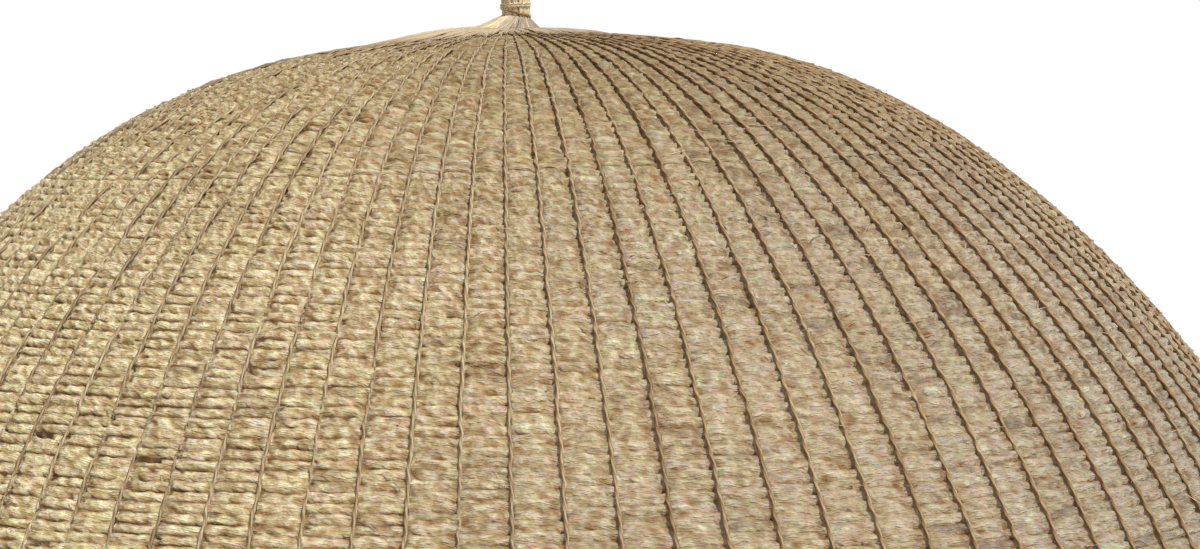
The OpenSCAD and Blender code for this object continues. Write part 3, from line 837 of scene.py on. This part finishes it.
def cutDoorway(pieces):
    d = doorSettings
    turn = linspace(0, math.pi, d["steps"] + 1)
    wide = doorOuter + domeSettings["seatGap"]
    x = concatenate([[wide], wide * cos(turn), [-wide]])
    z = concatenate([[-d["below"]], d["sideHeight"] + wide * sin(turn), [-d["below"]]])
    ends = [fromDoorway(stack([x, np.full(len(x), y), z], -1)) for y in (-d["reach"], d["reach"])]
    count = len(x)
    faces = [list(range(count)), list(range(2 * count - 1, count - 1, -1))]
    faces += [[i, i + count, (i + 1) % count + count, (i + 1) % count] for i in range(count)]
    mesh = bpy.data.meshes.new("doorCutter")
    mesh.from_pydata([tuple(p) for p in concatenate(ends)], [], faces)
    low, tall = thatchBake["doorway"]
    number = arange(len(mesh.loops))
    uv = stack([0.2 + 0.6 * number / len(number), low + tall * (number % 2)], -1)
    addTables(mesh, uv, uv, {label: np.full(len(mesh.vertices), value) for label, value in doorwayLook.items()})
    mesh.materials.append(pieces[0].data.materials[0])
    cutter = addObject("doorCutter", mesh)
    for piece in pieces:
        cut = piece.modifiers.new("doorway", "BOOLEAN")
        cut.operation, cut.solver, cut.object = "DIFFERENCE", "MANIFOLD", cutter
        bpy.context.view_layer.update()
        result = bpy.data.meshes.new_from_object(piece.evaluated_get(bpy.context.evaluated_depsgraph_get()))
        piece.modifiers.clear()
        print(f"doorway: {piece.name} went from {len(piece.data.polygons)} to {len(result.polygons)} faces")
        piece.data = result
    bpy.data.objects.remove(cutter)


def doorEdgeHeight(across):
    d = doorSettings
    return (d["sideHeight"] + math.sqrt(doorOuter ** 2 - across ** 2)) * math.cos(d["lean"])


# Rope net: each rope sinks into the grass and comes out, more so on the left

ropeSettings = {
    "radius": 0.0060, "lift": 0.0110, "liftGrain": 0.0007, "longStart": 0.186, "shortStart": 0.330, "sides": 5,
    "twist": 0.45, "wander": 0.0016, "endGap": 0.01, "slimUnder": 0.05, "slimmest": 0.55,
    "size": 0.86, "knob": 0.3, "uneven": 0.06, "sunkLeft": 0.6, "sink": 0.0028, "sinkLeft": 0.0042,
    "tint": 0.5, "tintRope": 0.16, "tintGrain": 0.10, "groove": 0.66, "seed": 23,
}


def ropeNet(name, firstRope, material):
    r, ropes = ropeSettings, domeSettings["sectorGores"]
    rng = default_rng(r["seed"] + firstRope)
    places = concatenate([c["from"] + arange(c["rungs"]) * c["pitch"] for c in courses.values()])
    pointSets, groups, tints, grooves, offset = [], [], [], [], 0
    for i in range(ropes):
        azimuth = front + (firstRope + i) * goreAngle
        offMiddle = abs(domeSettings["radius"] * math.sin(azimuth - front))
        overDoor = math.cos(azimuth - front) > 0 and offMiddle < doorOuter + 2 * r["radius"]
        foot = doorEdgeHeight(min(offMiddle, doorOuter)) + doorSettings["pole"] if overDoor else r["radius"]
        start, end = sForRadius(r["longStart"] if i % 2 == 0 else r["shortStart"]), sForHeight(foot)
        between = places[(places > start + r["endGap"]) & (places < end - r["endGap"])]
        s = concatenate([[start], between, [end]])
        count = len(s)
        knob = (arange(count) + count + 1) % 2
        radius = alongDome(s)[0]
        slim = clip(radius * goreAngle / r["slimUnder"], r["slimmest"], 1)
        radii = r["radius"] * slim * (r["size"] + r["knob"] * knob + rng.uniform(-r["uneven"], r["uneven"], count))
        sway = rng.normal(0, r["wander"], count) / np.maximum(radius, 0.1)
        left = 1 - cells["open"][(firstRope + i) % gores, 0]
        sunk = np.convolve(rng.normal(0, 1, count + 4), np.ones(5) / 5 ** 0.5, "valid") + r["sunkLeft"] * left
        lift = (r["lift"] - (r["sink"] + r["sinkLeft"] * left) * clip(sunk, 0, 2)) * slim
        lift = lift + rng.normal(0, r["liftGrain"], count)
        paths, ups = placeOnDome(azimuth + sway, s, lift)[None], outwardOnDome(azimuth + 0 * s, s)[None]
        points, tables = tubeTables(paths, radii, ups, r["sides"], r["twist"])
        for faces, lay, bake in tables:
            groups.append((faces + offset, lay, (bake + [i, 0]) / [ropes, 1]))
        offset += len(points)
        pointSets.append(points)
        tone = r["tint"] + r["tintRope"] * rng.normal() + r["tintGrain"] * rng.normal(size=count)
        tints.append(clip(np.repeat(tone, r["sides"]), 0, 1))
        # painted shade on one side of each rope, the same side all along it
        side = sin(fullTurn * arange(r["sides"]) / r["sides"] + r["twist"] * arange(count)[:, None])
        grooves.append(clip(side, 0, r["groove"]).ravel())
    attributes = {"tint": concatenate(tints), "groove": concatenate(grooves)}
    return makeObject(name, concatenate(pointSets), groups, material, attributes)


def makeRopes(materials):
    pieces = []
    for sector, first in upperSectors:
        piece = ropeNet(f"ropeNet_{sector}", first, materials["rope"])
        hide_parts(f"rope_net_{sector}")
        pieces.append(piece)
    report("ropes", *pieces)


# Foot hoop: three strands laid round each other

hoopSettings = {
    "height": 0.07, "half": 0.023, "strands": 3, "strand": 0.0125, "coil": 0.0115, "lay": 0.13, "step": 0.018,
    "sides": 6, "tint": (0.5, 0.12), "seed": 5,
}


def makeHoop(materials):
    h = hoopSettings
    low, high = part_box("foot_hoop")
    radius = high.x - h["half"]
    doorHalf = math.asin((doorOuter + domeSettings["seatGap"]) / (radius - h["half"]))
    count = int(radius * (fullTurn - 2 * doorHalf) / h["step"])
    azimuth = front + linspace(doorHalf, fullTurn - doorHalf, count)
    out = levelWay(azimuth)
    centre = radius * out + array([0, 0, h["height"]])
    paths = laidRound(centre, out, azimuth * radius * fullTurn / h["lay"], h["strands"], h["coil"])
    tint = default_rng(h["seed"]).normal(*h["tint"], (h["strands"], count))
    piece = tubePiece("footHoop", paths, h["strand"], (0.0, 0, 1), h["sides"], materials["rope"],
                      tint, bakeColumns=h["strands"])
    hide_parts("foot_hoop")
    report("hoop", piece)


# Knot at the top: a flared skirt of grass, a bound neck and a tuft

knotSettings = {"neck": 0.050, "base": 0.064, "seed": 31, "neckShift": 0.028}    # the neck stands to the right
skirtSettings = {
    "radius": 0.152, "top": 0.036, "height": 0.070, "curve": 1.25, "least": 0.003,
    "rim": 0.006, "rimShift": 0.034,               # height of the rim, and how far it is moved to the left
    "stems": 560, "reach": (0.82, 1.08), "bend": 0.09, "sink": (-0.004, 0.004), "stem": (0.0028, 0.0052),
    "along": (0.7, 0.9, 1.1, 1.2, 1.1, 0.5), "tint": 0.50, "tintLeft": 0.30, "tintGrain": 0.17,
    "rounds": 48, "levels": 7, "coneShare": 0.93, "coneSink": 0.006, "coneUnder": 0.012, "coneTint": 0.3,
    "bakeCell": 0.004, "bakeWide": 0.3, "bakeLow": 0.98, "bakeTall": 0.015, "bakeSide": 40, "stemBake": 0.97,
}


def onSkirt(azimuth, reach, t, sink):
    k, shift = skirtSettings, knotSettings["neckShift"]
    radius = k["top"] + (reach - k["top"]) * t
    x = radius * cos(azimuth) + shift * (1 - t) - k["rimShift"] * t
    y = radius * sin(azimuth)
    rise = k["rim"] + (k["height"] - k["rim"]) * (1 - t) ** k["curve"]
    return stack([x, y, alongDome(np.hypot(x, y))[1] + np.maximum(rise - sink, k["least"])], -1)


def makeSkirt(rng, material):
    k = skirtSettings
    count, rings = k["stems"], len(k["along"])
    azimuth = rng.uniform(0, fullTurn, count)
    reach = k["radius"] * rng.uniform(*k["reach"], count)[:, None]
    t = linspace(0, 1, rings)[None, :]
    bend = azimuth[:, None] + rng.normal(0, k["bend"], count)[:, None] * t ** 2
    paths = onSkirt(bend, reach, t, rng.uniform(*k["sink"], count)[:, None])
    size = rng.uniform(*k["stem"], count)[:, None] * array(k["along"])
    points, groups = tubeTables(paths, size, (0.0, 0, 1), 3)
    # painted light and shade: the stems are paler on the left and greyer on the right
    shade = clip(k["tint"] - k["tintLeft"] * cos(azimuth) + k["tintGrain"] * rng.normal(size=count), 0, 1)

    # a closed cone of grass under the stems
    levels, rounds = k["levels"], k["rounds"]
    around = arange(rounds)[None, :] * fullTurn / rounds
    cone = onSkirt(around, k["coneShare"] * k["radius"], linspace(0, 1, levels)[:, None] + 0 * around, k["coneSink"])
    under = cone[::-1].copy()
    under[..., 2] = domeSettings["height"] - k["coneUnder"]
    index = len(points) + arange(2 * levels * rounds).reshape(2 * levels, rounds)
    quads = cellCorners(np.pad(index, (0, 1), "wrap")[None], True)
    flat = np.zeros((len(quads), 4, 2)) + k["bakeCell"] * array([[0, 0], [0, 1], [1, 1], [1, 0]])
    number, side = arange(len(quads))[:, None], k["bakeSide"]
    bake = stack([number % side / side * k["bakeWide"] + flat[..., 0],
                  k["bakeLow"] + k["bakeTall"] * (number // side / side) + flat[..., 1] * 0.1], -1)
    groups = [(faces, lay, stemBake * [1, k["stemBake"]]) for faces, lay, stemBake in groups]
    groups.append((quads, flat * 10, bake))
    points = concatenate([points, cone.reshape(-1, 3), under.reshape(-1, 3)])
    tint = concatenate([np.repeat(shade, rings * 3), np.full(2 * levels * rounds, k["coneTint"])])
    return makeObject("knotSkirt", points, groups, material, {"tint": tint})


tuftSettings = {
    "height": 0.19, "radius": 0.058, "wider": 0.006, "inset": 0.003, "bound": 0.042, "flare": 1.3,
    "stems": 480, "inFive": 3, "place": (0.2, 0.5),       # three stems in five stand near the outside
    "tall": (0.72, 1.03), "swing": 0.25, "lean": 0.004, "sunk": 0.022, "over": 0.016, "stem": (0.0036, 0.0054),
    "along": (1, 1, 1, 0.9, 0.75, 0.35), "tint": (0.93, 0.08),
}


def makeTuft(rng, material):
    k, neck = tuftSettings, knotSettings["neck"]
    count = k["stems"]
    place = rng.uniform(0, 1, count) ** where(arange(count) % 5 < k["inFive"], *k["place"])
    azimuth = rng.uniform(0, fullTurn, count)
    t = linspace(0, 1, len(k["along"]))[None, :]
    tall = k["height"] * rng.uniform(*k["tall"], count)[:, None]
    spreadOut = share(t * tall, k["bound"], k["height"])
    radius = place[:, None] * (neck - k["inset"] + (k["radius"] + k["wider"] - neck) * spreadOut ** k["flare"])
    swing = azimuth[:, None] + rng.normal(0, k["swing"], count)[:, None] * spreadOut
    lean = rng.normal(0, k["lean"], (count, 1)) * spreadOut
    low = domeSettings["height"] + knotSettings["base"] - k["sunk"]
    paths = stack([radius * cos(swing) + lean + knotSettings["neckShift"], radius * sin(swing) + lean,
                   low + t * (tall + k["over"])], -1)
    size = rng.uniform(*k["stem"], count)[:, None] * array(k["along"])
    tint = rng.normal(*k["tint"], (count, 1))
    return tubePiece("knotTuft", paths, size, (1.0, 0, 0), 3, material, tint)


bindingSettings = {
    "turns": 3, "steps": 70, "over": 0.001, "strand": 0.0026, "coil": 0.0021, "lay": 0.034, "sides": 6,
    "riseAt": (0, 1, 1.5, 3), "rise": (0.013, 0.013, 0.034, 0.046), "dip": 0.018, "dipTurn": 2.5,
    "tint": (0.72, 0.2), "groove": 2.4, "grooveFall": 2.2, "grooveAt": 4.95, "grooveMost": 0.9,
}


def makeBinding(rng, material):
    k = bindingSettings
    steps = k["steps"] * k["turns"]
    a = linspace(0, fullTurn * k["turns"], steps)
    reach = knotSettings["neck"] + k["over"]
    rise = np.interp(a / fullTurn, k["riseAt"], k["rise"])
    rise = rise - k["dip"] * cos(a) * clip(k["dipTurn"] - a / math.pi, 0, 1)
    out = levelWay(a)
    centre = reach * out + array([knotSettings["neckShift"], 0, domeSettings["height"] + knotSettings["base"]])
    centre[:, 2] += rise
    paths = laidRound(centre, out, a * reach * fullTurn / k["lay"], 2, k["coil"])
    tint = rng.normal(*k["tint"], (2, steps))
    groove = clip(k["groove"] - k["grooveFall"] * np.abs(a - k["grooveAt"]), 0, k["grooveMost"])
    return tubePiece("knotBinding", paths, k["strand"], (0.0, 0, 1), k["sides"], material, tint,
                     groove)


def makeKnot(materials):
    rng, straw = default_rng(knotSettings["seed"]), materials["straw"]
    skirt, tuft, binding = makeSkirt(rng, straw), makeTuft(rng, straw), makeBinding(rng, straw)
    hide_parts("knot_skirt")
    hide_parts("knot_tuft")
    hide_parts("knot_binding")
    report("knot", skirt, tuft, binding)


# Thin layer of grass that runs on from the skirt over the crown, farthest on the left

capSettings = {
    "count": 950, "from": (0.10, 0.20), "reach": 0.37, "reachLeft": 0.24, "reachRange": (0.62, 1.06), "bend": 0.05,
    "lift": (0.010, 0.020), "liftLeft": 0.016, "leftPower": 1.5, "least": 0.003, "fall": (0.14, 0.64),
    "radius": (0.0022, 0.0036), "along": (1, 1.1, 1, 0.5), "tint": 0.56, "tintLeft": 0.12, "tintGrain": 0.12,
    "brown": 0.10, "brownRise": 0.75, "brownFrom": 0.12, "brownMost": 0.6, "seed": 97,
}


def makeCap(materials):
    k = capSettings
    rng, count = default_rng(k["seed"]), k["count"]
    drawn = lambda ends: rng.uniform(*ends, count)[:, None]
    azimuth = drawn((0, fullTurn))
    left = clip(-cos(azimuth), 0, 1) ** k["leftPower"]
    start = drawn(k["from"])
    end = (k["reach"] + k["reachLeft"] * left) * drawn(k["reachRange"])
    t = linspace(0, 1, len(k["along"]))[None, :]
    s = start + (end - start) * t
    bend = azimuth + rng.normal(0, k["bend"], count)[:, None] * t ** 2
    top = drawn(k["lift"]) + k["liftLeft"] * left * drawn((0.2, 1))
    fall = cos(0.5 * math.pi * share(s, *k["fall"])) ** 1.5 * (1 - 0.5 * t ** 3)
    paths = placeOnDome(bend, s, k["least"] + (top - k["least"]) * fall)
    size = drawn(k["radius"]) * array(k["along"])
    tint = k["tint"] - k["tintLeft"] * cos(azimuth) + rng.normal(0, k["tintGrain"], (count, 1))
    browned = clip(k["brown"] + k["brownRise"] * (s - k["brownFrom"]), 0, k["brownMost"])
    report("cap", tubePiece("knotCap", paths, size, outwardOnDome(bend, s), 3, materials["straw"], tint,
                            browned))


# Loose straws that stick out between the ropes, and a fringe of grass ends under the hoop

straySettings = {
    "count": 2000, "length": (0.04, 0.11), "radius": (0.0009, 0.0016), "along": (1, 1, 0.5), "lift": (0.008, 0.015),
    "curl": 0.010, "turn": 0.34, "from": 1.15, "toFoot": 0.10, "tint": (0.58, 0.12), "leastTint": 0.3,
    "doorGap": 0.05, "seed": 57,
}
fringeSettings = {
    "count": 1700, "height": (0.045, 0.078), "radius": (0.0012, 0.0021), "along": (1, 1, 0.6),
    "flare": (0.002, 0.017), "over": 0.004, "ground": 0.002, "bend": 0.004, "tint": (0.35, 0.2), "leastTint": 0,
    "doorGap": 0.004, "seed": 71,
}


def clearOfDoor(points, gap):
    x, y, z = np.moveaxis(points, -1, 0)
    return ((np.abs(x) > doorOuter + gap) | (y > 0) | (z > doorSettings["clearTop"] + gap)).all(axis=1)


def scattered(name, k, shapes, materials):
    rng = default_rng(k["seed"])
    drawn = lambda ends: rng.uniform(*ends, k["count"])[:, None]
    paths, ups = shapes(k, rng, drawn, linspace(0, 1, 3)[None, :])
    size = drawn(k["radius"]) * array(k["along"])
    tint = np.maximum(rng.normal(*k["tint"], (k["count"], 1)), k["leastTint"])
    keep = clearOfDoor(paths, k["doorGap"])
    return tubePiece(name, paths[keep], size[keep], ups[keep], 3, materials["straw"], tint[keep])


def strayPaths(k, rng, drawn, t):
    s = np.sqrt(drawn((k["from"] ** 2, (arcEnds[2] - k["toFoot"]) ** 2)))
    azimuth, length = drawn((0, fullTurn)), drawn(k["length"])
    turn = rng.normal(0, k["turn"], k["count"])[:, None]
    side = where(rng.random(k["count"]) < 0.5, 1, -1)[:, None]
    along = azimuth + side * (t - 0.5) * length * cos(turn) / alongDome(s)[0]
    down = s + (t - 0.5) * length * sin(turn)
    lift = drawn(k["lift"]) + k["curl"] * drawn((-0.3, 1)) * t ** 2
    return placeOnDome(along, down, lift), outwardOnDome(along, down)


def fringePaths(k, rng, drawn, t):
    azimuth = drawn((0, fullTurn))
    height = drawn(k["height"]) * (1 - t) + k["ground"]
    reach = domeSettings["radius"] + k["over"] + drawn(k["flare"]) * t
    bend = azimuth + rng.normal(0, k["bend"], k["count"])[:, None] * t
    out = levelWay(bend)
    return stack([reach * out[..., 0], reach * out[..., 1], height], -1), out


def makeStraws(materials):
    report("straws", scattered("looseStraws", straySettings, strayPaths, materials),
           scattered("footFringe", fringeSettings, fringePaths, materials))


# Lashings of grass rope round the outer pole of the doorway

lashingSettings = {
    "places": 9, "turns": 3.5, "strand": 0.0042, "pitch": 0.0085, "steps": 12, "fromGround": 0.15, "uneven": 0.02,
    "seat": 0.8, "grain": 0.0006, "sides": 6, "tint": (0.45, 0.14), "seed": 83,
}


def makeLashings(materials):
    k = lashingSettings
    rng, lean = default_rng(k["seed"]), doorSettings["lean"]
    outward = array([0, -math.cos(lean), math.sin(lean)])
    radius = doorSettings["pole"] / 2
    middle, straight = doorSettings["width"] / 2 + radius, doorSettings["sideHeight"]
    arch = math.pi * middle
    count = int(k["turns"] * k["steps"]) + 1
    a = linspace(0, fullTurn * k["turns"], count)
    paths, ups = [], []
    for i in range(k["places"]):
        length = (i + 0.5) / k["places"] * (arch + 2 * straight - 2 * k["fromGround"]) + k["fromGround"]
        way = length + rng.uniform(-k["uneven"], k["uneven"]) + k["pitch"] * (a / fullTurn - k["turns"] / 2)
        turn = clip((way - straight) / middle, 0, math.pi)
        over = where(way < straight, way, where(way > straight + arch, 2 * straight + arch - way, straight))
        ring = stack([cos(turn), 0 * turn, sin(turn)], -1)
        around = radius + k["strand"] * k["seat"] + rng.normal(0, k["grain"], count)
        offset = cos(a)[:, None] * ring + sin(a)[:, None] * array([0, -1, 0])
        paths.append(fromDoorway(middle * ring + over[:, None] * array([0, 0, 1]) + around[:, None] * offset))
        ups.append(np.cross(ring, outward) + 0.001)
    tint = rng.normal(*k["tint"], (k["places"], count))
    report("lashings", tubePiece("doorLashings", array(paths), k["strand"], array(ups), k["sides"],
                                 materials["rope"], tint))


# Materials on the CAD nodes that stay, and a worn edge on the threshold

def finishNodes(materials):
    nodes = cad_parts
    for name, node in nodes.items():
        if not node.hide_render:
            node.data.materials.clear()
            node.data.materials.append(materials["clay" if name in ("clay_floor", "threshold") else "wood"])
    worn = nodes["threshold"].modifiers.new("worn edge", "BEVEL")
    worn.width, worn.segments = 0.018, 3


def makeFloor(materials):
    mesh, half, drop = bpy.data.meshes.new("floor"), 60, 0.002
    mesh.from_pydata([(-half, -half, 0), (half, -half, 0), (half, half, 0), (-half, half, 0)], [], [(0, 1, 2, 3)])
    mesh.materials.append(materials["floor"])
    floor = addObject("floor", mesh)
    floor.location.z = -drop


makeCamera(cameraSettings)
makeLight(lightSettings)
materials = makeMaterials()
print("camera, light and materials are made")
thatch = makeThatch(materials)
cutDoorway([thatch["foot_thatch_front_left"], thatch["foot_thatch_front_right"]])
for makePieces in (makeRopes, makeHoop, makeKnot, makeCap, makeStraws, makeLashings, finishNodes, makeFloor):
    makePieces(materials)
